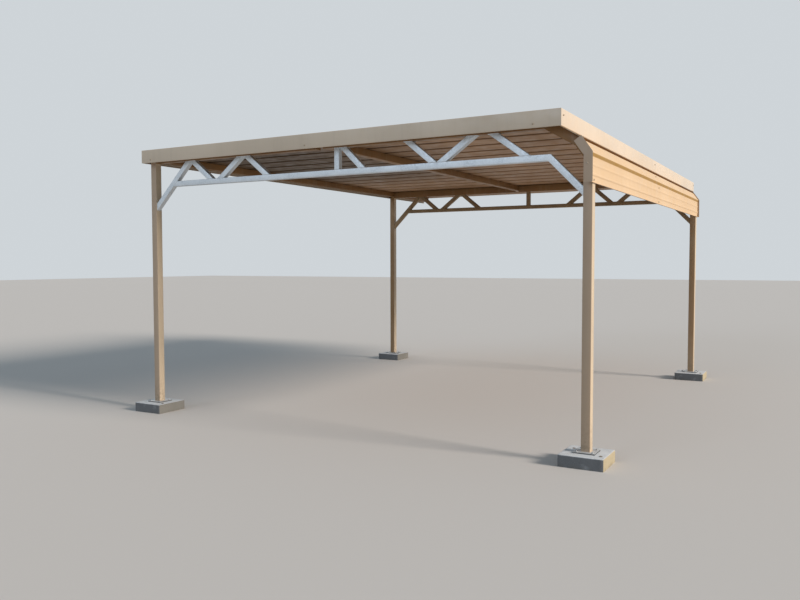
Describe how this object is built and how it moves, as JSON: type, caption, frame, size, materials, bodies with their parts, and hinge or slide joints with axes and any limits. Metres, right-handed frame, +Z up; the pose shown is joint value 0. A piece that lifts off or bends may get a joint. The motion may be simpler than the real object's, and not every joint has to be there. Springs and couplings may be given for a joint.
{
  "type": "single carport with an open steel frame",
  "caption": "Open-frame steel carport with square posts on concrete footings, light front and back trusses, a flat ribbed roof, a fascia and a cranked ribbed side panel.",
  "frame": {"origin": "centre of the plan at ground level, under the middle of the bounding box", "axes": "+Z up, +Y from the front opening to the back, +X towards the side with the ribbed panel"},
  "size_m": [4.69, 6.038, 2.585],
  "materials": {
    "cream_paint": "satin light sandstone paint with light dust",
    "brown_paint": "satin brown paint on the beams and the cranked post heads",
    "roof_sheet_paint": "satin sandstone paint on ribbed sheet",
    "galvanised_tube": "matt galvanised",
    "galvanised_plate": "matt galvanised",
    "concrete": "cast concrete"
  },
  "bodies": {
    "root": {"back_cross_beam": "brown_paint", "back_fascia": "cream_paint", "back_left_base_plate": "galvanised_plate", "back_left_footing": "concrete", "back_left_post": "cream_paint", "back_right_base_plate": "galvanised_plate", "back_right_footing": "concrete", "back_right_post": "cream_paint", "back_right_post_head": "brown_paint", "back_truss_bottom_chord": "galvanised_tube", "back_truss_centre_strut": "galvanised_tube", "back_truss_left_knee": "galvanised_tube", "back_truss_left_webs": "galvanised_tube", "back_truss_right_knee": "galvanised_tube", "back_truss_right_webs": "galvanised_tube", "centre_beam": "brown_paint", "front_cross_beam": "brown_paint", "front_fascia": "cream_paint", "front_left_base_plate": "galvanised_plate", "front_left_footing": "concrete", "front_left_post": "cream_paint", "front_right_base_plate": "galvanised_plate", "front_right_footing": "concrete", "front_right_post": "cream_paint", "front_right_post_head": "brown_paint", "front_truss_bottom_chord": "galvanised_tube", "front_truss_centre_strut": "galvanised_tube", "front_truss_left_knee": "galvanised_tube", "front_truss_left_webs": "galvanised_tube", "front_truss_right_knee": "galvanised_tube", "front_truss_right_webs": "galvanised_tube", "left_eave_beam": "brown_paint", "left_fascia": "cream_paint", "lower_side_rail": "cream_paint", "panel_back_trim": "cream_paint", "panel_front_trim": "cream_paint", "right_eave_beam": "brown_paint", "right_fascia": "cream_paint", "roof_sheet_1": "roof_sheet_paint", "roof_sheet_2": "roof_sheet_paint", "roof_sheet_3": "roof_sheet_paint", "roof_sheet_4": "roof_sheet_paint", "roof_sheet_5": "roof_sheet_paint", "roof_sheet_6": "roof_sheet_paint", "side_panel": "cream_paint", "upper_side_rail": "cream_paint"}
  },
  "joints": []
}
